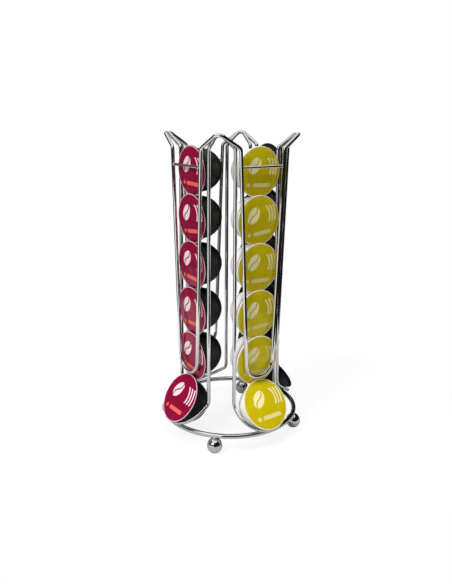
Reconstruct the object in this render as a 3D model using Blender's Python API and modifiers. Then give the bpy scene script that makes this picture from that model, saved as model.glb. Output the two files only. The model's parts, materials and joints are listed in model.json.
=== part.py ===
"""Coffee capsule dispenser.

A rack of bent steel wire stands on a round base ring with four ball feet. Each of its four sides
is an upright column: a hairpin guide behind the capsules' rims and a hairpin guard in front of
them. Stacked rims run in the channel between the two, each rim's lower edge on the cup below it.
At the foot of a column the guide bends out into a tongue, and the lowest capsule leans on it,
free to be pulled out under the guard. Three columns are loaded, and the back one is empty.

Metres, +Z up. The origin is on the floor, on the rack's axis, and the front column faces -Y.
"""
from math import ceil, cos, radians, sin, sqrt, tan

import bmesh
import bpy
from mathutils import Matrix, Vector

# Fit: the gap left between pieces that touch or are welded together
GAP = 0.0003

# Capsule, with depths measured back from the face of its lid. The lid is the sealed rim with its
# foil, and the cup hangs behind it, the rim overhanging its wall
RIM_RADIUS = 0.027
RIM_THICKNESS = 0.0016
RIM_SOFTENING = 0.0003
RIM_OVERHANG = 0.0035
CUP_DEPTH = 0.031
CUP_TAPER = 0.0003
SHOULDER_DEPTH = 0.008
SHOULDER_DROP = 0.011

# Stack: the rims' tilt, how the lowest capsule leans back and stands off the rim above it, and
# how far the flat end of a cup stays clear of the cups in the next column
STACKED = 5
STACK_TILT = radians(3)
BOTTOM_LEAN = radians(33)
BOTTOM_PLAY = 0.00095
CUP_END_PLAY = 0.00805

# Guides and guards: wire, and how far a rim laps over each leg
WIRE = 0.004
GUIDE_CATCH = 0.00133
GUARD_CATCH = 0.0008
GUARD_PLAY = 0.00264
GUARD_LOW_PLAY = 0.00175
GUARD_LOW_HALF = 0.0168
TONGUE_LEAN = radians(55.5)
TONGUE_BEND = 0.009
TONGUE_SIDE = radians(41)

# Crown: the legs' upper ends, bent out to the rack's corners and welded there
CROWN_CLEARANCE = 0.0246
CROWN_RISE = 0.0136
CROWN_SPREAD = 0.0126
CROWN_BEND = 0.006
CROWN_TIP_HALF = 0.003
CROWN_TIP_BEND = 0.005
BAR_WIRE = 0.003
BAR_DROP = 0.0189

# Base
RING_WIRE = 0.005
FOOT_BALL = 0.016
FOOT_FLAT_DEPTH = 0.0004
FOOT_TURN = radians(-2.4)

# Share of a straight run of wire that the arcs at its two ends may use up
BEND_FIT_SHARE = 0.97

# Fineness of the round shapes
ROUND_STEPS = 24
SHOULDER_STEPS = 4
BEND_STEP = radians(19)
RING_STEPS = 44
WIRE_STEPS = 8
CURVE_RESOLUTION = 2
BALL_STEPS = 14
BALL_RINGS = 10
SMOOTH_LIMIT = radians(40)
MERGE_SHARE = 0.1

# Columns: name, turn about the rack's axis, and the look of its cups and lids where it is loaded
COLUMNS = (
    ("front", radians(0), "white_cup", "yellow_lid"),
    ("left", radians(-90), "black_cup", "crimson_lid"),
    ("back", radians(180), None, None),
    ("right", radians(90), "black_cup", "crimson_lid"),
)

# Materials: colour, roughness, metallic
FINISHES = {
    "chrome": ((0.78, 0.78, 0.80), 0.12, 1.0),
    "white_cup": ((0.86, 0.84, 0.80), 0.35, 0.0),
    "black_cup": ((0.02, 0.02, 0.02), 0.35, 0.0),
    "yellow_lid": ((0.62, 0.50, 0.01), 0.25, 0.6),
    "crimson_lid": ((0.32, 0.01, 0.05), 0.25, 0.6),
}

# Places that follow from the sizes: out from the rack's axis, up from the floor
wire_r = WIRE / 2
ring_wire_r = RING_WIRE / 2
ring_up = FOOT_BALL - FOOT_FLAT_DEPTH + GAP + ring_wire_r

cup_radius = RIM_RADIUS - RIM_OVERHANG
cup_end_radius = cup_radius - CUP_TAPER - SHOULDER_DROP
stack_out = cup_end_radius + CUP_END_PLAY + CUP_DEPTH
stack_low_out = stack_out - RIM_RADIUS * sin(STACK_TILT)
guide_out = stack_out - RIM_THICKNESS - GAP - wire_r
guide_half = RIM_RADIUS + wire_r - GUIDE_CATCH
guard_out = stack_out + RIM_RADIUS * sin(STACK_TILT) + GUARD_PLAY + wire_r
guard_half = RIM_RADIUS + wire_r - GUARD_CATCH
guard_low_out = stack_out + GUARD_LOW_PLAY + wire_r

# The lowest capsule's cup and rim seat on the wire at the tongue's tip, which is welded to the
# ring's outer shoulder
lean_sin, lean_cos = sin(BOTTOM_LEAN), cos(BOTTOM_LEAN)
tilt_sin, tilt_cos = sin(STACK_TILT), cos(STACK_TILT)
seat_back = RIM_THICKNESS + GAP + wire_r
seat_low = cup_radius + GAP + wire_r
bottom_out = stack_low_out + BOTTOM_PLAY + RIM_RADIUS * lean_sin + RIM_THICKNESS * lean_cos
tip_out = bottom_out - seat_back * lean_cos + seat_low * lean_sin
tip_weld = wire_r + ring_wire_r + GAP
ring_radius = tip_out - tip_weld * cos(TONGUE_SIDE)
tip_up = ring_up + tip_weld * sin(TONGUE_SIDE)
bottom_up = tip_up + seat_back * lean_sin + seat_low * lean_cos
tongue_top_up = tip_up + (tip_out - guide_out) / tan(TONGUE_LEAN)

# The first stacked rim stands on the lowest cup, and each next one on the cup below it
wall_out = bottom_out - RIM_THICKNESS * lean_cos - cup_radius * lean_sin
wall_up = bottom_up - RIM_THICKNESS * lean_sin + cup_radius * lean_cos
first_up = (
    wall_up - (wall_out - stack_low_out) * tan(BOTTOM_LEAN) + GAP / lean_cos + RIM_RADIUS * tilt_cos
)
rim_step = (RIM_RADIUS + cup_radius) * tilt_sin - RIM_THICKNESS * tilt_cos
pitch = (
    (RIM_RADIUS + cup_radius) * tilt_cos
    + RIM_THICKNESS * tilt_sin
    + rim_step * tan(STACK_TILT)
    + GAP / tilt_cos
)

# The guard ends just above the path of the lowest rim as it is pulled out
rim_top_out = bottom_out - RIM_RADIUS * lean_sin
rim_top_up = bottom_up + RIM_RADIUS * lean_cos
guard_low_up = (
    rim_top_up + (wire_r + GAP + (guard_low_out - rim_top_out) * lean_sin) / lean_cos
)

crown_up = first_up + (STACKED - 1) * pitch + CROWN_CLEARANCE
crown_tip_up = crown_up + CROWN_RISE
crown_reach = (guard_out + guard_half) / sqrt(2) + CROWN_SPREAD


def column_point(out, side, up):
    """A point of the front column, side being to the right as seen from outside."""
    return Vector((side, -out, up))


def corner_point(reach, across, up):
    """A point near the corner at the front column's right, across being the way off the diagonal."""
    return column_point((reach + across) / sqrt(2), (reach - across) / sqrt(2), up)


def bent(corners, radii):
    """Points of a path with straight runs and an arc at each inner corner."""
    runs = [after - before for before, after in zip(corners, corners[1:])]
    turns = [0.0] + [before.angle(after) for before, after in zip(runs, runs[1:])] + [0.0]
    reaches = [radius * tan(turn / 2) for radius, turn in zip([0.0] + radii + [0.0], turns)]
    for index, run in enumerate(runs):
        used = reaches[index] + reaches[index + 1]
        if used > run.length * BEND_FIT_SHARE:
            reaches[index] *= run.length * BEND_FIT_SHARE / used
            reaches[index + 1] *= run.length * BEND_FIT_SHARE / used
    points = [corners[0]]
    for index in range(1, len(corners) - 1):
        turn, reach = turns[index], reaches[index]
        before, after = runs[index - 1].normalized(), runs[index].normalized()
        start = corners[index] - before * reach
        radius = reach / tan(turn / 2)
        inward = (after - before * cos(turn)).normalized()
        steps = ceil(turn / BEND_STEP)
        for step in range(steps + 1):
            angle = turn * step / steps
            points.append(start + before * (radius * sin(angle)) + inward * (radius * (1 - cos(angle))))
    points.append(corners[-1])
    return points


def hairpin(half):
    """A whole hairpin from its right half, listed from the crown to the low corner."""
    mirrored = [Vector((-point.x, point.y, point.z)) for point in half]
    return half + mirrored[::-1]


def guide_path():
    """Crown tip, leg, tongue and back up the other side."""
    reach = crown_reach - WIRE - GAP
    half = [
        corner_point(reach, GAP / 2, crown_tip_up),
        corner_point(reach, CROWN_TIP_HALF, crown_tip_up),
        column_point(guide_out, guide_half, crown_up),
        column_point(guide_out, guide_half, tongue_top_up),
        column_point(tip_out, guide_half, tip_up),
    ]
    bends = [CROWN_TIP_BEND, CROWN_BEND, TONGUE_BEND, guide_half]
    return bent(hairpin(half), bends + bends[::-1])


def guard_path():
    """Crown tip, leg, the round low end and back up the other side."""
    half = [
        corner_point(crown_reach, GAP / 2, crown_tip_up),
        corner_point(crown_reach, CROWN_TIP_HALF, crown_tip_up),
        column_point(guard_out, guard_half, crown_up),
        column_point(guard_low_out, GUARD_LOW_HALF, guard_low_up),
    ]
    bends = [CROWN_TIP_BEND, CROWN_BEND, GUARD_LOW_HALF]
    return bent(hairpin(half), bends + bends[::-1])


def bar_path():
    """A straight bar between the inner sides of one guard's legs."""
    share = BAR_DROP / (crown_up - guard_low_up)
    out = guard_out + (guard_low_out - guard_out) * share
    half = guard_half + (GUARD_LOW_HALF - guard_half) * share - wire_r - GAP
    return [column_point(out, -half, crown_up - BAR_DROP), column_point(out, half, crown_up - BAR_DROP)]


def wire_curve(name, points, diameter):
    """Round wire along points, closed at both ends."""
    curve = bpy.data.curves.new(name, "CURVE")
    curve.dimensions = "3D"
    curve.bevel_depth = diameter / 2
    curve.bevel_resolution = CURVE_RESOLUTION
    curve.use_fill_caps = True
    spline = curve.splines.new("POLY")
    spline.points.add(len(points) - 1)
    for target, point in zip(spline.points, points):
        target.co = (*point, 1)
    return curve


def profile_mesh(name, outline):
    """An open outline of radius and height, ready to be turned."""
    mesh = bpy.data.meshes.new(name)
    edges = [(index, index + 1) for index in range(len(outline) - 1)]
    mesh.from_pydata([(radius, 0, height) for radius, height in outline], edges, [])
    return mesh


def cup_outline():
    """Mouth behind the rim, tapered wall and domed shoulder, down to the flat end."""
    mouth = RIM_THICKNESS + GAP
    outline = [(0, -mouth), (cup_radius, -mouth)]
    for step in range(SHOULDER_STEPS + 1):
        share = step / SHOULDER_STEPS
        radius = cup_radius - CUP_TAPER - SHOULDER_DROP * share ** 2
        outline.append((radius, -SHOULDER_DEPTH - (CUP_DEPTH - SHOULDER_DEPTH) * share))
    return outline + [(0, -CUP_DEPTH)]


def lid_outline():
    """A disc as thick as the sealed rim, its two edges softened."""
    flat_radius = RIM_RADIUS - RIM_SOFTENING
    back = -RIM_THICKNESS
    return [
        (0, 0),
        (flat_radius, 0),
        (RIM_RADIUS, -RIM_SOFTENING),
        (RIM_RADIUS, back + RIM_SOFTENING),
        (flat_radius, back),
        (0, back),
    ]


def foot_mesh():
    """A ball with its underside cut flat at the floor."""
    work = bmesh.new()
    bmesh.ops.create_uvsphere(
        work, u_segments=BALL_STEPS, v_segments=BALL_RINGS, radius=FOOT_BALL / 2
    )
    floor = Vector((0, 0, FOOT_FLAT_DEPTH - FOOT_BALL / 2))
    everything = work.verts[:] + work.edges[:] + work.faces[:]
    cut = bmesh.ops.bisect_plane(
        work, geom=everything, plane_co=floor, plane_no=(0, 0, -1), clear_outer=True
    )
    rim = [item for item in cut["geom_cut"] if isinstance(item, bmesh.types.BMEdge)]
    bmesh.ops.contextual_create(work, geom=rim)
    bmesh.ops.recalc_face_normals(work, faces=work.faces)
    mesh = bpy.data.meshes.new("foot")
    work.to_mesh(mesh)
    work.free()
    smooth(mesh)
    return mesh


def smooth(mesh):
    """Smooth shading that stops at the sharp edges."""
    mesh.shade_smooth()
    mesh.set_sharp_from_angle(angle=SMOOTH_LIMIT)


def finish_material(name):
    """A plain material for one of the finishes."""
    colour, roughness, metallic = FINISHES[name]
    material = bpy.data.materials.new(name)
    material.use_nodes = True
    shader = material.node_tree.nodes["Principled BSDF"]
    shader.inputs["Base Color"].default_value = (*colour, 1)
    shader.inputs["Roughness"].default_value = roughness
    shader.inputs["Metallic"].default_value = metallic
    return material


def add_object(name, data, finish, parent=None, matrix=Matrix()):
    """A named object with its finish, placed under its parent."""
    piece = bpy.data.objects.new(name, data)
    collection.objects.link(piece)
    if data is not None:
        if not data.materials:
            data.materials.append(None)
        piece.material_slots[0].link = "OBJECT"
        piece.material_slots[0].material = materials[finish]
    piece.parent = parent
    piece.matrix_basis = matrix
    return piece


def add_turned(name, mesh, finish, parent):
    """A piece made by turning its outline about its own axis."""
    piece = add_object(name, mesh, finish, parent)
    screw = piece.modifiers.new("turn", "SCREW")
    screw.steps = screw.render_steps = ROUND_STEPS
    screw.use_merge_vertices = True
    screw.merge_threshold = GAP * MERGE_SHARE
    screw.use_smooth_shade = True
    return piece


def add_capsules(name, column, cup_finish, lid_finish):
    """One column's capsules, numbered from the lowest, which leans out on the tongue."""
    places = [(bottom_out, bottom_up, -BOTTOM_LEAN)]
    places += [(stack_out, first_up + pitch * index, STACK_TILT) for index in range(STACKED)]
    for number, (out, up, tilt) in enumerate(places, 1):
        place = Matrix.Translation((0, -out, up)) @ Matrix.Rotation(radians(90) + tilt, 4, "X")
        capsule = add_object(f"capsule_{name}_{number}", None, None, column, place)
        add_turned(f"cup_{name}_{number}", cup_mesh, cup_finish, capsule)
        add_turned(f"lid_{name}_{number}", lid_mesh, lid_finish, capsule)


for old in list(bpy.data.objects):
    bpy.data.objects.remove(old)
collection = bpy.data.collections.new("coffee_capsule_dispenser")
bpy.context.scene.collection.children.link(collection)
materials = {name: finish_material(name) for name in FINISHES}

bpy.ops.mesh.primitive_torus_add(
    major_radius=ring_radius,
    minor_radius=ring_wire_r,
    major_segments=RING_STEPS,
    minor_segments=WIRE_STEPS,
    location=(0, 0, ring_up),
)
base_ring = bpy.context.object
base_ring.name = "base_ring"
base_ring.data.materials.append(materials["chrome"])
smooth(base_ring.data)
for old_home in list(base_ring.users_collection):
    old_home.objects.unlink(base_ring)
collection.objects.link(base_ring)

foot = foot_mesh()
guide = wire_curve("guide", guide_path(), WIRE)
guard = wire_curve("guard", guard_path(), WIRE)
bar = wire_curve("bar", bar_path(), BAR_WIRE)
cup_mesh = profile_mesh("cup", cup_outline())
lid_mesh = profile_mesh("lid", lid_outline())

for number, (name, turn, cup_finish, lid_finish) in enumerate(COLUMNS, 1):
    column = add_object(f"column_{name}", None, None, None, Matrix.Rotation(turn, 4, "Z"))
    corner = Matrix.Rotation(radians(45) + FOOT_TURN, 4, "Z")
    foot_place = corner @ Matrix.Translation((0, -ring_radius, FOOT_BALL / 2 - FOOT_FLAT_DEPTH))
    add_object(f"foot_{number}", foot, "chrome", column, foot_place)
    add_object(f"guide_wire_{name}", guide, "chrome", column)
    add_object(f"guard_wire_{name}", guard, "chrome", column)
    add_object(f"cross_bar_{name}", bar, "chrome", column)
    if cup_finish:
        add_capsules(name, column, cup_finish, lid_finish)
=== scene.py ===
"""Looks of the coffee capsule dispenser: bright chrome wire, moulded cups and printed foil lids.

Metres, +Z up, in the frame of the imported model. Columns face front (-Y), left (-X), back (+Y)
and right (+X). In a column's own terms, "out" is the way from the rack's axis, "side" is to the
right as seen from outside, and "up" is from the floor.
"""
import json
from math import atan2, ceil, cos, pi, radians, sin, sqrt, tan

import bmesh
import bpy
from mathutils import Matrix, Vector


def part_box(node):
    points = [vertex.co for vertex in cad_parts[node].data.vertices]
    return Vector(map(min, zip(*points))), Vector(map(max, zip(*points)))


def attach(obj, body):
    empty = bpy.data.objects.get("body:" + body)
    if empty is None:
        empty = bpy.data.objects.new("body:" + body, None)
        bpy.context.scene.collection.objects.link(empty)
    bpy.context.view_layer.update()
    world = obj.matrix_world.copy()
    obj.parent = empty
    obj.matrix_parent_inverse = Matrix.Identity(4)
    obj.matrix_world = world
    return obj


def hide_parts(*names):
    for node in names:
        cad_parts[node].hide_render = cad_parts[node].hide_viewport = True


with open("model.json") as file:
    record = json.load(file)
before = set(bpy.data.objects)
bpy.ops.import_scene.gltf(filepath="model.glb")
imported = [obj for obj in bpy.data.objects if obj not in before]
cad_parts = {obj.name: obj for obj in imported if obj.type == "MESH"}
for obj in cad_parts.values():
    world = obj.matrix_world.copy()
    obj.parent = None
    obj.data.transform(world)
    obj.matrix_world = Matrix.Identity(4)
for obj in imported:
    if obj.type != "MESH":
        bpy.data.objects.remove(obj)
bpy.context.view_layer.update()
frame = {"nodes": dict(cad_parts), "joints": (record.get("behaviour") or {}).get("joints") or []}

# Wires, bends and balls, as in the frame; the share of a straight run that its bends may use, and
# how finely the wires and balls are drawn
WIRE = 0.004
BAR_WIRE = 0.003
FEET = 4
FOOT_BALL = 0.016
TONGUE_LEAN = radians(55.5)
TONGUE_BEND = 0.009
CROWN_RISE = 0.0136
CROWN_BEND = 0.006
CROWN_TIP_HALF = 0.003
CROWN_TIP_BEND = 0.005
BEND_FIT = 0.97
SECTION_SIDES = 24
BEND_STEP = radians(5)
RING_STEPS = 144
BALL_SIDES = 48
BALL_STEPS = 40

# Beads of weld
WELD_LENGTH = 0.0042
WELD_WIDTH = 0.0021
BALL_WELD_WIDTH = 0.0030
BAR_WELD_WIDTH = 0.00375
WELD_SIDES = 16
WELD_RINGS = 10

# Angle between faces past which an edge stays sharp
SHARP_EDGE = radians(38)

# Heights at which the legs are measured in the frame, the distance off the diagonal at which the
# crown tips are, and the distance within which points are one
LOW_CUT = 0.12
HIGH_CUT = 0.29
TIP_CUT = 0.0006
MERGE = 0.000002

# Capsules, with depths measured back from the face of the rim, and how finely they are drawn
RIM_RADIUS = 0.027
RIM_THICKNESS = 0.0016
RIM_SOFT = 0.0004
RIM_ROOT_SOFT = 0.0006
CUP_RADIUS = 0.0235
CUP_DEPTH = 0.031
CUP_TAPER = 0.0003
SHOULDER_DEPTH = 0.008
SHOULDER_DROP = 0.0105
SHOULDER_POWER = 2.7
SHOULDER_STEPS = 22
SHOULDER_BLEND = 4
END_SOFT = 0.0024
SOFT_STEPS = 4
DIMPLE_RADIUS = 0.0075
DIMPLE_DEPTH = 0.0006
FOIL_THICKNESS = 0.00012
FOIL_RADIUS = 0.0268
FOIL_BULGE = 0.0013
SEAL_WIDTH = 0.0017
SEAL_DEPTH = 0.00012
STACK_TILT = radians(3)
TURN_STEPS = 72
FOIL_TURN_STEPS = 144
FOIL_STEPS = 22

# Dents of a foil, as waves over the lid: length, height and bearing of each
FOIL_DENTS = (
    (0.021, 0.00012, 20), (0.016, 0.00009, 75), (0.0125, 0.00006, 130), (0.0095, 0.00004, 165),
)
DENT_FADE = 4

# Puckers round a foil's seal: how many, how high, how far some stand above others and in how many
# groups, how fast they fade inwards, and how close to the seal they stop
PUCKERS = 31
PUCKER_HEIGHT = 0.00009
PUCKER_SWELL = 0.4
PUCKER_GROUPS = 3
PUCKER_FADE = 9
PUCKER_STOP = 40

# Columns: turn about the rack's axis, and the looks of its cups and lids where it is loaded
COLUMNS = {
    "front": (0, "white_cup", "yellow_lid"),
    "left": (-90, "black_cup", "crimson_lid"),
    "back": (180, None, None),
    "right": (90, "black_cup", "crimson_lid"),
}
CAPSULES = 6

# How far each lid's print is turned in its column, from the lowest, in degrees
PRINT_TURNS = (0, -5, 3, -3, 5, -2)

# Camera, at the photograph's place
CAMERA_PLACE = (-0.3986, -0.5641, 0.3493)
CAMERA_HEADING = radians(54.647 - 90)
CAMERA_PITCH = radians(8.433)
CAMERA_ROLL = radians(0.327)
CAMERA_LENS = 38.77
CAMERA_SHIFT = (-0.0101, -0.14)

# Floor: its size, its colour to lamps and to the camera, the radii over which mirrors see it turn
# white and its shadow fades from view, and how far the shadow is lightened
FLOOR_SIZE = 5.0
FLOOR_COLOUR = (0.36, 0.36, 0.36)
FLOOR_VIEW_COLOUR = (0.96, 0.96, 0.96)
FLOOR_FADE = (0.12, 0.45)
SHADOW_FADE = (0.10, 0.30)
FLOOR_WHITENING = 0.86

# Reflection cards: glowing cards that only the rack's reflections see, painted reflections of a dark
# studio and of a pale ceiling. Bearings from the camera of their two ends in degrees, their glowing
# grey, and the distances and heights of their profile
REFLECTION_CARDS = (
    (-12, 205, 0.008, ((0.34, 0.001), (0.60, 0.02), (0.62, 0.45), (0.50, 0.80))),
    (-155, -62, 0.09, ((0.50, 0.001), (0.60, 0.02), (0.62, 0.45), (0.50, 0.80))),
    (-64, -10, 0.010, ((1.50, 0.21), (1.50, 0.72))),
    (0, 360, 0.70, ((0.30, 0.98), (0.001, 1.0))),
)
REFLECTION_CARD_STEPS = 32

# Light: the world's strength, the height that the lamps aim at, and each lamp's bearing from the
# camera and rise in degrees, its distance, size and power. The metal mirrors the white studio and
# the glowing cards of painted reflection, and not the lamps.
WORLD_LIGHT = 0.36
LAMP_AIM = 0.16
LAMPS = ((-42, 42, 3.0, 1.2, 82.0), (20, 78, 3.0, 1.8, 52.0))

# Metal and plastic: noise scales, how far each moves the gloss, heights of relief, and the two
# colours of the plating
HAZE_SCALE = 45.0
HAZE_GLOSS = 0.05
RIPPLE_SCALE = 240.0
RIPPLE_HEIGHT = 0.00001
RIPPLE_STRENGTH = 0.08
CHROME_DARK = (0.78, 0.78, 0.79)
CHROME_PALE = (0.86, 0.86, 0.87)
PLASTIC_CLOUD = 70.0
PLASTIC_CLOUD_GLOSS = 0.12
GRAIN_SCALE = 2600.0
GRAIN_GLOSS = 0.08
GRAIN_HEIGHT = 0.00004

# Print on the lids, in units of PRINT_SCALE lid radii; an edge is where a soft border starts and
# ends
PRINT_SCALE = 1.2
BEAN_PLACE = (-0.22, 0.20)
BEAN_TURN = radians(35)
BEAN_HALVES = (0.30, 0.20)
BEAN_EDGE = (0.96, 1.04)
SEAM_WAVE = 11.0
SEAM_SWAY = 0.045
SEAM_EDGE = (0.018, 0.032)
ARC_CENTRE = (-0.05, 0.12)
ARC_RADII = (0.42, 0.78)
ARC_SPACING = 0.06
ARC_EDGE = (0.028, 0.038)
ARC_LEFT = 0.12
ARC_HEIGHTS = (-0.08, 0.46)
BAR_PLACE = (0.10, -0.42)
BAR_HALF = 0.30
DOT_PLACE = (-0.42, -0.42)
STROKE_EDGE = (0.060, 0.072)

# Foil: where its pale edge ring and the knurl of its sealed edge start, in parts of the lid's radius;
# its metallic sheen and what ink takes off it; its gloss; and the parts and height of its relief. The
# pale edge ring is a painted highlight of the rim on the crimson lids and the cream of the cup's rim
# lip on the yellow ones
PALE_EDGE_RING = (0.957, 0.969)
KNURL_START = (0.925, 0.945)
KNURLS = 150.0
FOIL_SHEEN = 0.22
INK_DULLING = 0.18
FOIL_SPECULAR = 0.3
FOIL_ROUGHNESS = 0.20
INK_ROUGHNESS = 0.10
FOIL_CLOUD = 60.0
FOIL_CLOUD_GLOSS = 0.10
DENT_SCALE = 95.0
CREASE_SCALE = 85.0
CREASE_WIDTH = 0.05
CREASED_SCALE = 55.0
CREASED_EDGE = (0.52, 0.62)
DENT_PART, CREASE_PART, KNURL_PART = 2.4, 0.45, 0.12
FOIL_RELIEF = 0.00018


class Sum:
    """A value in a material. Arithmetic on it adds Math nodes."""

    def __init__(self, socket):
        self.socket = socket

    def __add__(self, other):
        return calculate("ADD", self, other)

    __radd__ = __add__

    def __mul__(self, other):
        return calculate("MULTIPLY", self, other)

    __rmul__ = __mul__

    def __sub__(self, other):
        return calculate("SUBTRACT", self, other)

    def __rsub__(self, other):
        return calculate("SUBTRACT", other, self)

    def __truediv__(self, other):
        return calculate("DIVIDE", self, other)

    def __lt__(self, other):
        return calculate("LESS_THAN", self, other)

    def __gt__(self, other):
        return calculate("GREATER_THAN", self, other)


def feed(socket, value):
    """Links a socket to a value or a node's output, or sets it."""
    if isinstance(value, Sum):
        value = value.socket
    if isinstance(value, bpy.types.NodeSocket):
        socket.id_data.links.new(value, socket)
    elif hasattr(socket.default_value, "__len__") and len(socket.default_value) == 4:
        socket.default_value = (*value, 1) if len(value) == 3 else value
    else:
        socket.default_value = value


def calculate(operation, *values):
    """A Math node on one to three values."""
    tree = next(value.socket.id_data for value in values if isinstance(value, Sum))
    node = tree.nodes.new("ShaderNodeMath")
    node.operation = operation
    for socket, value in zip(node.inputs, values):
        feed(socket, value)
    return Sum(node.outputs[0])


class Finish:
    """A material being made."""

    def __init__(self, name):
        self.material = bpy.data.materials.new(name)
        self.material.use_nodes = True
        self.tree = self.material.node_tree
        self.shader = self.tree.nodes["Principled BSDF"]

    def node(self, kind, settings=None, values=None):
        """A node of a kind, its settings made first and its sockets fed after."""
        made = self.tree.nodes.new(kind)
        for name, value in (settings or {}).items():
            setattr(made, name, value)
        for name, value in (values or {}).items():
            feed(made.inputs[name], value)
        return made

    def place(self, source="Object"):
        """The three coordinates of a place on the piece, in metres, or of its flat print."""
        coordinates = self.node("ShaderNodeTexCoord").outputs[source]
        parts = self.node("ShaderNodeSeparateXYZ", values={"Vector": coordinates})
        return coordinates, [Sum(socket) for socket in parts.outputs]

    def noise(self, where, scale, detail=2.0):
        """Soft random cells, as a value round one half."""
        values = {"Vector": where, "Scale": scale, "Detail": detail}
        return Sum(self.node("ShaderNodeTexNoise", values=values).outputs["Fac"])

    def mix(self, share, first, second):
        """A colour between two colours. The node's sockets share names, so they go by number."""
        node = self.node("ShaderNodeMix", {"data_type": "RGBA"})
        feed(node.inputs["Factor"], share)
        feed(node.inputs[6], first)
        feed(node.inputs[7], second)
        return node.outputs[2]

    def soft_step(self, value, low, high):
        """0 below low, 1 above high."""
        node = self.node("ShaderNodeMapRange", {"interpolation_type": "SMOOTHSTEP"})
        for name, item in (("Value", value), ("From Min", low), ("From Max", high)):
            feed(node.inputs[name], item)
        return Sum(node.outputs["Result"])

    def bump(self, height, distance, strength):
        """Feeds a height, in parts of a distance, to the surface's normal."""
        values = {"Height": height, "Distance": distance, "Strength": strength}
        bumped = self.node("ShaderNodeBump", values=values)
        feed(self.shader.inputs["Normal"], bumped.outputs["Normal"])

    def set(self, **values):
        """Sets or links the shader's sockets, named with underscores."""
        for name, value in values.items():
            feed(self.shader.inputs[name.replace("_", " ")], value)


def chrome(name, roughness):
    """Bright plating with a faint haze and the drawn wire's ripple."""
    finish = Finish(name)
    where, _ = finish.place()
    haze = finish.noise(where, HAZE_SCALE, detail=4.0)
    ripple = finish.noise(where, RIPPLE_SCALE)
    finish.set(Metallic=1.0, Roughness=haze * HAZE_GLOSS + (roughness - HAZE_GLOSS / 2))
    finish.set(Base_Color=finish.mix(haze, CHROME_DARK, CHROME_PALE))
    finish.bump(ripple, RIPPLE_HEIGHT, RIPPLE_STRENGTH)
    return finish.material


def plastic(name, dark, pale, roughness, gloss):
    """Moulded plastic with a fine eroded grain and slight shading of its colour."""
    finish = Finish(name)
    where, _ = finish.place()
    cloud = finish.noise(where, PLASTIC_CLOUD, detail=3.0)
    grain = finish.noise(where, GRAIN_SCALE)
    middle = roughness - (PLASTIC_CLOUD_GLOSS + GRAIN_GLOSS) / 2
    finish.set(Base_Color=finish.mix(cloud, dark, pale), Specular_IOR_Level=gloss)
    finish.set(Roughness=cloud * PLASTIC_CLOUD_GLOSS + grain * GRAIN_GLOSS + middle)
    finish.bump(grain, GRAIN_HEIGHT, strength=0.5)
    return finish.material


def length_of(across, up):
    """The length of a step across and up."""
    return calculate("SQRT", across * across + up * up)


def larger(first, second):
    """The larger of two values."""
    return calculate("MAXIMUM", first, second)


def bean_mask(finish, across, up):
    """A coffee bean, split by a wavy seam."""
    left, high = across - BEAN_PLACE[0], up - BEAN_PLACE[1]
    long_way = left * sin(BEAN_TURN) + high * cos(BEAN_TURN)
    short_way = left * cos(BEAN_TURN) - high * sin(BEAN_TURN)
    size = length_of(long_way / BEAN_HALVES[0], short_way / BEAN_HALVES[1])
    bean = 1 - finish.soft_step(size, *BEAN_EDGE)
    seam_place = short_way - calculate("SINE", long_way * SEAM_WAVE) * SEAM_SWAY
    seam = 1 - finish.soft_step(calculate("ABSOLUTE", seam_place), *SEAM_EDGE)
    return bean * (1 - seam)


def arcs_mask(finish, across, up):
    """Three rising arcs to the right of the bean."""
    inner, outer = ARC_RADII
    radius = length_of(across - ARC_CENTRE[0], up - ARC_CENTRE[1])
    wave = calculate("PINGPONG", radius - inner, ARC_SPACING)
    lines = finish.soft_step(wave, *ARC_EDGE) * (radius > inner) * (radius < outer)
    return lines * (across > ARC_LEFT) * (up > ARC_HEIGHTS[0]) * (up < ARC_HEIGHTS[1])


def bar_and_dot_mask(finish, across, up):
    """A short accent bar and disc under the bean."""
    past_end = larger(calculate("ABSOLUTE", across - BAR_PLACE[0]) - BAR_HALF, 0.0)
    bar = 1 - finish.soft_step(length_of(past_end, up - BAR_PLACE[1]), *STROKE_EDGE)
    dot_distance = length_of(across - DOT_PLACE[0], up - DOT_PLACE[1])
    return larger(bar, 1 - finish.soft_step(dot_distance, *STROKE_EDGE))


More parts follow.
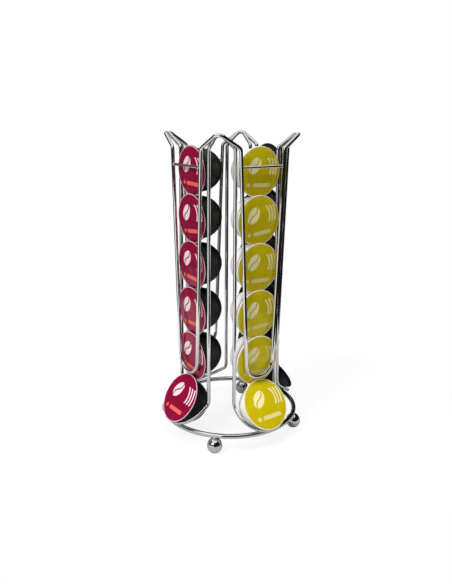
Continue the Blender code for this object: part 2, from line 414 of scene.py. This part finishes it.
def foil_lid(name, ground, deep, ink, accent, rim):
    """Printed foil: a bean, arcs and a bar on a coloured ground, within a pale edge ring that is a
    painted rim highlight on the crimson lids.
    """
    finish = Finish(name)
    where, _ = finish.place()
    _, (across, up, _) = finish.place("UV")
    radius = length_of(across, up)
    across, up = across / PRINT_SCALE, up / PRINT_SCALE

    inked = larger(bean_mask(finish, across, up), arcs_mask(finish, across, up))
    accented = bar_and_dot_mask(finish, across, up)
    cloud = finish.noise(where, FOIL_CLOUD, detail=3.0)
    colour = finish.mix(cloud, ground, deep)
    colour = finish.mix(accented, colour, accent)
    colour = finish.mix(inked, colour, ink)
    # A pale ring at the edge: on the crimson lids a painted highlight of the rim all round, on the
    # yellow lids the cream of the cup's rim lip
    colour = finish.mix(finish.soft_step(radius, *PALE_EDGE_RING), colour, rim)
    printed = larger(inked, accented)
    finish.set(Base_Color=colour, Metallic=FOIL_SHEEN - printed * INK_DULLING)
    finish.set(Specular_IOR_Level=FOIL_SPECULAR)
    finish.set(Roughness=cloud * FOIL_CLOUD_GLOSS + printed * INK_ROUGHNESS + FOIL_ROUGHNESS)

    # Soft dents, a few creases and the knurl of the heat seal
    dents = finish.noise(where, DENT_SCALE, detail=1.0)
    cells = finish.node(
        "ShaderNodeTexVoronoi", {"feature": "DISTANCE_TO_EDGE"},
        {"Vector": where, "Scale": CREASE_SCALE},
    )
    creased = finish.soft_step(finish.noise(where, CREASED_SCALE, detail=1.0), *CREASED_EDGE)
    fold = 1 - finish.soft_step(Sum(cells.outputs["Distance"]), 0.0, CREASE_WIDTH)
    knurl = calculate("SINE", calculate("ARCTAN2", up, across) * KNURLS)
    knurled = knurl * finish.soft_step(radius, *KNURL_START)
    relief = dents * DENT_PART + fold * creased * CREASE_PART + knurled * KNURL_PART
    finish.bump(relief, FOIL_RELIEF, strength=0.5)
    return finish.material


MATERIALS = {
    "chrome_wire": chrome("chrome_wire", roughness=0.05),
    "chrome_ball": chrome("chrome_ball", roughness=0.05),
    "chrome_weld": chrome("chrome_weld", roughness=0.16),
    "white_cup": plastic(
        "white_cup", dark=(0.80, 0.78, 0.73), pale=(0.88, 0.86, 0.82), roughness=0.36, gloss=0.5
    ),
    "black_cup": plastic(
        "black_cup", dark=(0.006, 0.006, 0.006), pale=(0.010, 0.010, 0.009), roughness=0.42,
        gloss=0.28,
    ),
    "yellow_lid": foil_lid(
        "yellow_lid", ground=(0.73, 0.58, 0.003), deep=(0.65, 0.52, 0.003), ink=(0.86, 0.80, 0.42),
        accent=(0.78, 0.68, 0.24), rim=(0.86, 0.82, 0.60),
    ),
    # Its pale pink rim colour is a painted highlight of the rim, all round the lid
    "crimson_lid": foil_lid(
        "crimson_lid", ground=(0.29, 0.002, 0.042), deep=(0.25, 0.0015, 0.034),
        ink=(0.78, 0.60, 0.64), accent=(0.72, 0.12, 0.085), rim=(0.74, 0.52, 0.58),
    ),
}


def column_point(out, side, up):
    """A place in the front column."""
    return Vector((side, -out, up))


def corner_point(reach, across, up):
    """A place by the corner at the front column's right, across being the way off the diagonal."""
    return column_point((reach + across) / sqrt(2), (reach - across) / sqrt(2), up)


def crossings(node, point, normal):
    """Centres of the places where a plane crosses a CAD node's wire."""
    work = bmesh.new()
    work.from_mesh(frame["nodes"][node].data)
    bmesh.ops.remove_doubles(work, verts=work.verts, dist=MERGE)
    everything = work.verts[:] + work.edges[:] + work.faces[:]
    cut = bmesh.ops.bisect_plane(work, geom=everything, plane_co=point, plane_no=normal)
    waiting = {item for item in cut["geom_cut"] if isinstance(item, bmesh.types.BMVert)}
    centres = []
    while waiting:
        loop, front = [], [waiting.pop()]
        while front:
            vertex = front.pop()
            loop.append(vertex.co.copy())
            near = {edge.other_vert(vertex) for edge in vertex.link_edges} & waiting
            waiting -= near
            front.extend(near)
        low = Vector([min(place[axis] for place in loop) for axis in range(3)])
        high = Vector([max(place[axis] for place in loop) for axis in range(3)])
        centres.append((low + high) / 2)
    work.free()
    return centres


def leg_at(node, up):
    """The right leg's centre in the front column at a height: out and side."""
    leg = max(crossings(node, (0, 0, up), (0, 0, 1)), key=lambda centre: centre.x)
    return -leg.y, leg.x


def crown_tip(node):
    """Where a wire's crown tip lies: its reach along the diagonal and its height."""
    across = Vector((-1, -1, 0)).normalized()
    tip = crossings(node, across * TIP_CUT, across)[0]
    return (tip.x - tip.y) / sqrt(2), tip.z


def bends(corners, radii):
    """For each inner corner of a path: where its arc starts, the arc's centre, axis and turn."""
    runs = [after - before for before, after in zip(corners, corners[1:])]
    turns = [0.0] + [before.angle(after) for before, after in zip(runs, runs[1:])] + [0.0]
    reaches = [radius * tan(turn / 2) for radius, turn in zip([0.0] + radii + [0.0], turns)]
    for index, run in enumerate(runs):
        used = reaches[index] + reaches[index + 1]
        if used > run.length * BEND_FIT:
            reaches[index] *= run.length * BEND_FIT / used
            reaches[index + 1] *= run.length * BEND_FIT / used
    for index in range(1, len(corners) - 1):
        before, after = runs[index - 1].normalized(), runs[index].normalized()
        start = corners[index] - before * reaches[index]
        inward = (after - before * cos(turns[index])).normalized()
        radius = reaches[index] / tan(turns[index] / 2)
        yield start, start + inward * radius, before.cross(after).normalized(), turns[index]


def bent_wire(corners, radii, diameter):
    """Round wire along a path, straight between its bends, as a bmesh closed at both ends."""
    work = bmesh.new()
    heading = (corners[1] - corners[0]).to_track_quat("Z", "Y").to_matrix().to_4x4()
    section = bmesh.ops.create_circle(
        work, cap_ends=True, segments=SECTION_SIDES, radius=diameter / 2,
        matrix=Matrix.Translation(corners[0]) @ heading,
    )
    edges = list({edge for vertex in section["verts"] for edge in vertex.link_edges})
    here = corners[0]
    for start, centre, axis, turn in bends(corners, radii):
        edges = drawn_on(work, edges, start - here)
        spun = bmesh.ops.spin(
            work, geom=edges, cent=centre, axis=axis, angle=turn, steps=ceil(turn / BEND_STEP)
        )
        edges = [item for item in spun["geom_last"] if isinstance(item, bmesh.types.BMEdge)]
        here = centre + Matrix.Rotation(turn, 3, axis) @ (start - centre)
    edges = drawn_on(work, edges, corners[-1] - here)
    bmesh.ops.contextual_create(work, geom=edges)
    return work


def drawn_on(work, edges, way):
    """Extends a wire straight on from its last section."""
    grown = bmesh.ops.extrude_edge_only(work, edges=edges)["geom"]
    moved = [item for item in grown if isinstance(item, bmesh.types.BMVert)]
    bmesh.ops.translate(work, verts=moved, vec=way)
    return [
        item for item in grown
        if isinstance(item, bmesh.types.BMEdge) and all(end in moved for end in item.verts)
    ]


def turned(outline, steps=TURN_STEPS):
    """An outline of radius and height turned about Z, as a closed bmesh."""
    work = bmesh.new()
    points = [work.verts.new((radius, 0, height)) for radius, height in outline]
    profile = [work.edges.new(pair) for pair in zip(points, points[1:])]
    bmesh.ops.spin(
        work, geom=points + profile, cent=(0, 0, 0), axis=(0, 0, 1), angle=2 * pi, steps=steps,
        use_merge=True,
    )
    bmesh.ops.remove_doubles(work, verts=work.verts, dist=MERGE)
    return work


def softened(corners, radii):
    """An outline with a small arc at each inner corner."""
    flat = [Vector((radius, 0, height)) for radius, height in corners]
    points = [flat[0]]
    for start, centre, axis, turn in bends(flat, radii):
        for step in range(SOFT_STEPS + 1):
            rotation = Matrix.Rotation(turn * step / SOFT_STEPS, 3, axis)
            points.append(centre + rotation @ (start - centre))
    points.append(flat[-1])
    return [(point.x, point.z) for point in points]


def finished(name, work, material, body, slot, nodes=(), place=Matrix()):
    """A piece from a bmesh: normals out, smooth, with its finish, on its body."""
    bmesh.ops.recalc_face_normals(work, faces=work.faces)
    bmesh.ops.transform(work, matrix=place, verts=work.verts)
    mesh = bpy.data.meshes.new(name)
    work.to_mesh(mesh)
    work.free()
    mesh.shade_smooth()
    mesh.set_sharp_from_angle(angle=SHARP_EDGE)
    mesh.materials.append(MATERIALS[material])
    piece = bpy.data.objects.new(name, mesh)
    bpy.context.scene.collection.objects.link(piece)
    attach(piece, body)
    if nodes:
        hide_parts(*nodes)


def hairpin(half):
    """A whole hairpin from its right half, listed from the crown to the low corner."""
    return half + [Vector((-point.x, point.y, point.z)) for point in reversed(half)]


def guide_corners():
    """The guide's crown tip, leg top, tongue corner and tip, read from the frame."""
    out, side = leg_at("guide_wire_front", LOW_CUT)
    tip = crossings("guide_wire_front", (0, 0, 0), (1, 0, 0))[0]
    reach, tip_up = crown_tip("guide_wire_front")
    tongue_top = tip.z + (-tip.y - out) / tan(TONGUE_LEAN)
    return hairpin([
        corner_point(reach, 0, tip_up),
        corner_point(reach, CROWN_TIP_HALF, tip_up),
        column_point(out, side, tip_up - CROWN_RISE),
        column_point(out, side, tongue_top),
        column_point(-tip.y, side, tip.z),
    ])


def guard_corners():
    """The guard's crown tip, leg top and low corner, read from the frame."""
    low_out, low_side = leg_at("guard_wire_front", LOW_CUT)
    high_out, high_side = leg_at("guard_wire_front", HIGH_CUT)
    reach, tip_up = crown_tip("guard_wire_front")
    end = crossings("guard_wire_front", (0, 0, 0), (1, 0, 0))[0]

    def leg(up):
        share = (up - LOW_CUT) / (HIGH_CUT - LOW_CUT)
        return column_point(
            low_out + (high_out - low_out) * share, low_side + (high_side - low_side) * share, up
        )

    return hairpin([
        corner_point(reach, 0, tip_up),
        corner_point(reach, CROWN_TIP_HALF, tip_up),
        leg(tip_up - CROWN_RISE),
        leg(end.z),
    ])


def weld(work, place, along, length=WELD_LENGTH, width=WELD_WIDTH):
    """Adds a smooth bead of weld, longest along a direction, to a bmesh."""
    turn = along.to_track_quat("Z", "Y").to_matrix().to_4x4()
    stretch = Matrix.Diagonal((width / 2, width / 2, length / 2, 1))
    bmesh.ops.create_uvsphere(
        work, u_segments=WELD_SIDES, v_segments=WELD_RINGS, radius=1,
        matrix=Matrix.Translation(place) @ turn @ stretch,
    )


def cup_outline():
    """Rim, tapered wall, domed shoulder and dimpled end, as radius and height."""
    face = -2 * FOIL_THICKNESS
    rim = softened(
        [(0, face), (RIM_RADIUS, face), (RIM_RADIUS, -RIM_THICKNESS),
         (CUP_RADIUS, -RIM_THICKNESS), (CUP_RADIUS - CUP_TAPER, -SHOULDER_DEPTH)],
        [RIM_SOFT, RIM_ROOT_SOFT, RIM_SOFT],
    )
    shoulder = []
    for step in range(1, SHOULDER_STEPS + 1):
        share = step / SHOULDER_STEPS
        radius = CUP_RADIUS - CUP_TAPER - SHOULDER_DROP * share ** SHOULDER_POWER
        shoulder.append((radius, -SHOULDER_DEPTH - (CUP_DEPTH - SHOULDER_DEPTH) * share))
    end = softened(
        [shoulder[-SHOULDER_BLEND], shoulder[-1], (DIMPLE_RADIUS + DIMPLE_DEPTH, -CUP_DEPTH),
         (DIMPLE_RADIUS, -CUP_DEPTH + DIMPLE_DEPTH), (0, -CUP_DEPTH + DIMPLE_DEPTH)],
        [END_SOFT, DIMPLE_DEPTH / 2, DIMPLE_DEPTH / 2],
    )
    return rim + shoulder[:-SHOULDER_BLEND] + end


def lid_outline():
    """A thin foil over the whole rim, slightly domed inside its flat sealed edge."""
    seal = FOIL_RADIUS - SEAL_WIDTH
    face = []
    for step in range(FOIL_STEPS + 1):
        share = step / FOIL_STEPS
        face.append((seal * share, FOIL_BULGE * (1 - share ** 2)))
    face += [(seal + SEAL_DEPTH, -SEAL_DEPTH), (FOIL_RADIUS - SEAL_DEPTH, -SEAL_DEPTH)]
    return face + [(FOIL_RADIUS, -2 * FOIL_THICKNESS), (0, -2 * FOIL_THICKNESS)]


def dent_foil(work, turn):
    """Presses soft dents and the seal's puckers into a lid's face, each lid by its own turn."""
    seal = FOIL_RADIUS - SEAL_WIDTH
    for vertex in work.verts:
        radius = vertex.co.xy.length
        if vertex.co.z < 0 or radius >= seal:
            continue
        share = radius / seal
        height = 0.0
        for length, depth, bearing in FOIL_DENTS:
            way = Vector((cos(radians(bearing) + turn), sin(radians(bearing) + turn)))
            height += depth * sin(2 * pi * vertex.co.xy.dot(way) / length + turn * 3)
        angle = atan2(vertex.co.y, vertex.co.x)
        swell = 1 - PUCKER_SWELL * (1 - sin(PUCKER_GROUPS * angle + turn * 2))
        pucker = PUCKER_HEIGHT * sin(PUCKERS * angle + turn) * swell
        vertex.co.z += height * (1 - share ** DENT_FADE)
        vertex.co.z += pucker * share ** PUCKER_FADE * (1 - share ** PUCKER_STOP)


def print_map(work, turn):
    """Gives a flat print its own map: the lid's own x and y over its radius, turned a little."""
    layer = work.loops.layers.uv.new("print")
    turned_back = Matrix.Rotation(-turn, 2)
    for face in work.faces:
        for loop in face.loops:
            loop[layer].uv = turned_back @ loop.vert.co.xy / FOIL_RADIUS


def capsule_place(name, number):
    """Where a capsule's rim faces: its axis along Z and its right side along X."""
    turn = Matrix.Rotation(radians(COLUMNS[name][0]), 4, "Z")
    outward = turn @ Vector((0, -1, 0))
    if number == 1:
        pull = next(joint for joint in frame["joints"] if joint["child"] == f"capsule_{name}_1")
        way = Vector(pull["axis"])
    else:
        way = outward * cos(STACK_TILT) - Vector((0, 0, sin(STACK_TILT)))
    low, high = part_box(f"lid_{name}_{number}")
    face = (low + high) / 2 + way * RIM_THICKNESS / 2
    side = Vector((0, 0, 1)).cross(outward)
    up = way.cross(side)
    axes = Matrix((side, up, way)).transposed().to_4x4()
    return Matrix.Translation(face) @ axes


def make_rack():
    """Ring, balls, guides, guards, bars and the welds between them."""
    low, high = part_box("base_ring")
    ring_wire = (high.z - low.z) / 2
    ring_radius, ring_up = high.x - ring_wire, (high.z + low.z) / 2
    work = bmesh.new()
    section = bmesh.ops.create_circle(
        work, segments=SECTION_SIDES, radius=ring_wire,
        matrix=Matrix.Translation((ring_radius, 0, 0)) @ Matrix.Rotation(radians(90), 4, "X"),
    )
    edges = list({edge for vertex in section["verts"] for edge in vertex.link_edges})
    bmesh.ops.spin(
        work, geom=section["verts"] + edges, cent=(0, 0, 0), axis=(0, 0, 1), angle=2 * pi,
        steps=RING_STEPS, use_merge=True,
    )
    place = Matrix.Translation((0, 0, ring_up))
    finished("base_ring_wire", work, "chrome_wire", "rack", "chrome_wire", ["base_ring"], place)

    welds = bmesh.new()
    for number in range(1, FEET + 1):
        low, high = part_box(f"foot_{number}")
        middle = (low + high) / 2
        ball = FOOT_BALL / 2
        floor = low.z - (high.z - ball)
        flat = sqrt(ball ** 2 - floor ** 2)
        ball_arc = [
            (ball * sin(angle), ball * cos(angle))
            for angle in (pi * step / BALL_STEPS for step in range(BALL_STEPS + 1))
            if ball * cos(angle) > floor
        ]
        outline = ball_arc + [(flat, floor), (0, floor)]
        place = Matrix.Translation((middle.x, middle.y, high.z - ball))
        finished(
            f"foot_ball_{number}", turned(outline, BALL_SIDES), "chrome_ball", "rack", "chrome_wire",
            [f"foot_{number}"], place,
        )
        along = Vector((-middle.y, middle.x, 0))
        weld(welds, (middle.x, middle.y, high.z), along, WELD_LENGTH, BALL_WELD_WIDTH)

    guide_path, guard_path = guide_corners(), guard_corners()
    guide_bends = [CROWN_TIP_BEND, CROWN_BEND, TONGUE_BEND, guide_path[4].x]
    guard_bends = [CROWN_TIP_BEND, CROWN_BEND, guard_path[3].x]
    low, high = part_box("cross_bar_front")
    bar_up, bar_out = (low.z + high.z) / 2, -(low.y + high.y) / 2
    bar_half = leg_at("guard_wire_front", bar_up)[1]
    tongue_tip = column_point(-guide_path[4].y, 0, guide_path[4].z)
    ring_point = column_point(ring_radius, 0, ring_up)
    reach, tip_up = crown_tip("guard_wire_front")
    inner_reach, _ = crown_tip("guide_wire_front")
    crown_meeting = corner_point((reach + inner_reach) / 2, 0, tip_up)
    for name, (turn, _, _) in COLUMNS.items():
        place = Matrix.Rotation(radians(turn), 4, "Z")
        guide = bent_wire(guide_path, guide_bends + guide_bends[::-1], WIRE)
        guard = bent_wire(guard_path, guard_bends + guard_bends[::-1], WIRE)
        ends = [column_point(bar_out, side, bar_up) for side in (-bar_half, bar_half)]
        bar = bent_wire(ends, [], BAR_WIRE)
        for piece, work, node in (
            ("guide", guide, "guide_wire"), ("guard", guard, "guard_wire"), ("bar", bar, "cross_bar"),
        ):
            finished(
                f"{piece}_{name}", work, "chrome_wire", "rack", "chrome_wire", [f"{node}_{name}"],
                place,
            )
        sideways = place.to_3x3() @ Vector((1, 0, 0))
        weld(welds, place @ ((tongue_tip + ring_point) / 2), sideways)
        weld(welds, place @ crown_meeting, place.to_3x3() @ Vector((-1, -1, 0)))
        for side in (-1, 1):
            seat = column_point(bar_out, side * (bar_half - WIRE / 2), bar_up)
            weld(welds, place @ seat, sideways, WELD_WIDTH, BAR_WELD_WIDTH)
    finished("welds", welds, "chrome_weld", "rack", "chrome_wire")


def make_capsules():
    """Every capsule's cup and lid, each pair on its own body."""
    for name, (turn, cup_look, lid_look) in COLUMNS.items():
        if cup_look is None:
            continue
        for number in range(1, CAPSULES + 1):
            place = capsule_place(name, number)
            body = f"capsule_{name}_{number}"
            finished(
                f"moulded_cup_{name}_{number}", turned(cup_outline()), cup_look, body, cup_look,
                [f"cup_{name}_{number}"], place,
            )
            lid = turned(lid_outline(), FOIL_TURN_STEPS)
            dent_foil(lid, number + radians(turn))
            print_map(lid, radians(PRINT_TURNS[number - 1]))
            finished(
                f"foil_{name}_{number}", lid, lid_look, body, lid_look,
                [f"lid_{name}_{number}"], place,
            )


def staged(name, work, material):
    """A piece of the stage from a bmesh."""
    mesh = bpy.data.meshes.new(name)
    work.to_mesh(mesh)
    work.free()
    mesh.materials.append(material)
    piece = bpy.data.objects.new(name, mesh)
    bpy.context.scene.collection.objects.link(piece)
    return piece


def make_floor():
    """A floor grey to lamps and near white to the camera, whose faint shadow fades further out."""
    finish = Finish("floor_white")
    _, (x, y, _) = finish.place()
    radius = length_of(x, y)
    path = finish.node("ShaderNodeLightPath").outputs
    mirrored = larger(Sum(path["Is Glossy Ray"]), Sum(path["Is Transmission Ray"]))
    far = finish.soft_step(radius, *FLOOR_FADE)
    clear = finish.soft_step(radius, *SHADOW_FADE)
    seen = larger(clear, FLOOR_WHITENING) * Sum(path["Is Camera Ray"])
    colour = finish.mix(Sum(path["Is Camera Ray"]), FLOOR_COLOUR, FLOOR_VIEW_COLOUR)
    finish.set(Base_Color=colour, Roughness=0.9, Specular_IOR_Level=0.0)
    glow = finish.node("ShaderNodeEmission", values={"Color": (1, 1, 1), "Strength": 1.0})
    both = finish.node("ShaderNodeMixShader")
    feed(both.inputs[0], larger(seen, mirrored * far))
    feed(both.inputs[1], finish.shader.outputs[0])
    feed(both.inputs[2], glow.outputs[0])
    output = next(node for node in finish.tree.nodes if node.type == "OUTPUT_MATERIAL")
    feed(output.inputs["Surface"], both.outputs[0])
    work = bmesh.new()
    bmesh.ops.create_grid(work, x_segments=1, y_segments=1, size=FLOOR_SIZE / 2)
    staged("floor", work, finish.material)


def make_reflection_cards():
    """Painted reflections: dark and grey glowing curved cards round the rack, which only its
    reflections see.
    """
    for number, (start, end, grey, profile) in enumerate(REFLECTION_CARDS, 1):
        finish = Finish(f"flag_{number}")
        finish.set(Base_Color=(0, 0, 0), Roughness=1.0, Specular_IOR_Level=0.0)
        # Each card glows at its grey: painted dark streaks in the metal's reflections, and a painted
        # pale ceiling over the rack
        finish.set(Emission_Color=(grey, grey, grey), Emission_Strength=1.0)
        work = bmesh.new()
        points = [work.verts.new((0, -distance, up)) for distance, up in profile]
        edges = [work.edges.new(pair) for pair in zip(points, points[1:])]
        turn = Matrix.Rotation(CAMERA_HEADING + radians(start), 4, "Z")
        bmesh.ops.spin(
            work, geom=points + edges, cent=(0, 0, 0), axis=(0, 0, 1), angle=radians(end - start),
            steps=REFLECTION_CARD_STEPS,
        )
        bmesh.ops.transform(work, matrix=turn, verts=work.verts)
        reflection_card = staged(f"flag_{number}", work, finish.material)
        reflection_card.visible_camera = False
        reflection_card.visible_diffuse = False
        reflection_card.visible_shadow = False


def make_lights():
    """A white world, and soft area lamps above and beside the camera."""
    world = bpy.data.worlds.new("studio")
    bpy.context.scene.world = world
    world.use_nodes = True
    tree = world.node_tree
    soft = tree.nodes["Background"]
    soft.inputs["Color"].default_value = (1, 1, 1, 1)
    soft.inputs["Strength"].default_value = WORLD_LIGHT
    white = tree.nodes.new("ShaderNodeBackground")
    white.inputs["Color"].default_value = (1, 1, 1, 1)
    path = tree.nodes.new("ShaderNodeLightPath")
    mirrored = larger(Sum(path.outputs["Is Glossy Ray"]), Sum(path.outputs["Is Transmission Ray"]))
    seen = larger(Sum(path.outputs["Is Camera Ray"]), mirrored)
    both = tree.nodes.new("ShaderNodeMixShader")
    feed(both.inputs[0], seen)
    feed(both.inputs[1], soft.outputs[0])
    feed(both.inputs[2], white.outputs[0])
    feed(tree.nodes["World Output"].inputs["Surface"], both.outputs[0])
    for number, (bearing, rise, distance, size, power) in enumerate(LAMPS, 1):
        data = bpy.data.lights.new(f"lamp_{number}", "AREA")
        data.shape = "DISK"
        data.size = size
        data.energy = power
        lamp = bpy.data.objects.new(f"lamp_{number}", data)
        bpy.context.scene.collection.objects.link(lamp)
        lamp.visible_glossy = False
        turn = Matrix.Rotation(CAMERA_HEADING + radians(bearing), 4, "Z")
        tilt = Matrix.Rotation(radians(-rise), 4, "X")
        lamp.matrix_world = (
            Matrix.Translation((0, 0, LAMP_AIM)) @ turn @ tilt
            @ Matrix.Translation((0, -distance, 0)) @ Matrix.Rotation(radians(90), 4, "X")
        )


def make_camera():
    """The photograph's view."""
    data = bpy.data.cameras.new("camera")
    data.lens = CAMERA_LENS
    data.shift_x, data.shift_y = CAMERA_SHIFT
    camera = bpy.data.objects.new("camera", data)
    bpy.context.scene.collection.objects.link(camera)
    camera.matrix_world = (
        Matrix.Translation(CAMERA_PLACE)
        @ Matrix.Rotation(CAMERA_HEADING, 4, "Z")
        @ Matrix.Rotation(radians(90) - CAMERA_PITCH, 4, "X")
        @ Matrix.Rotation(CAMERA_ROLL, 4, "Z")
    )
    bpy.context.scene.camera = camera


make_rack()
make_capsules()
make_floor()
make_reflection_cards()
make_lights()
make_camera()
bpy.context.scene.view_settings.view_transform = "Standard"
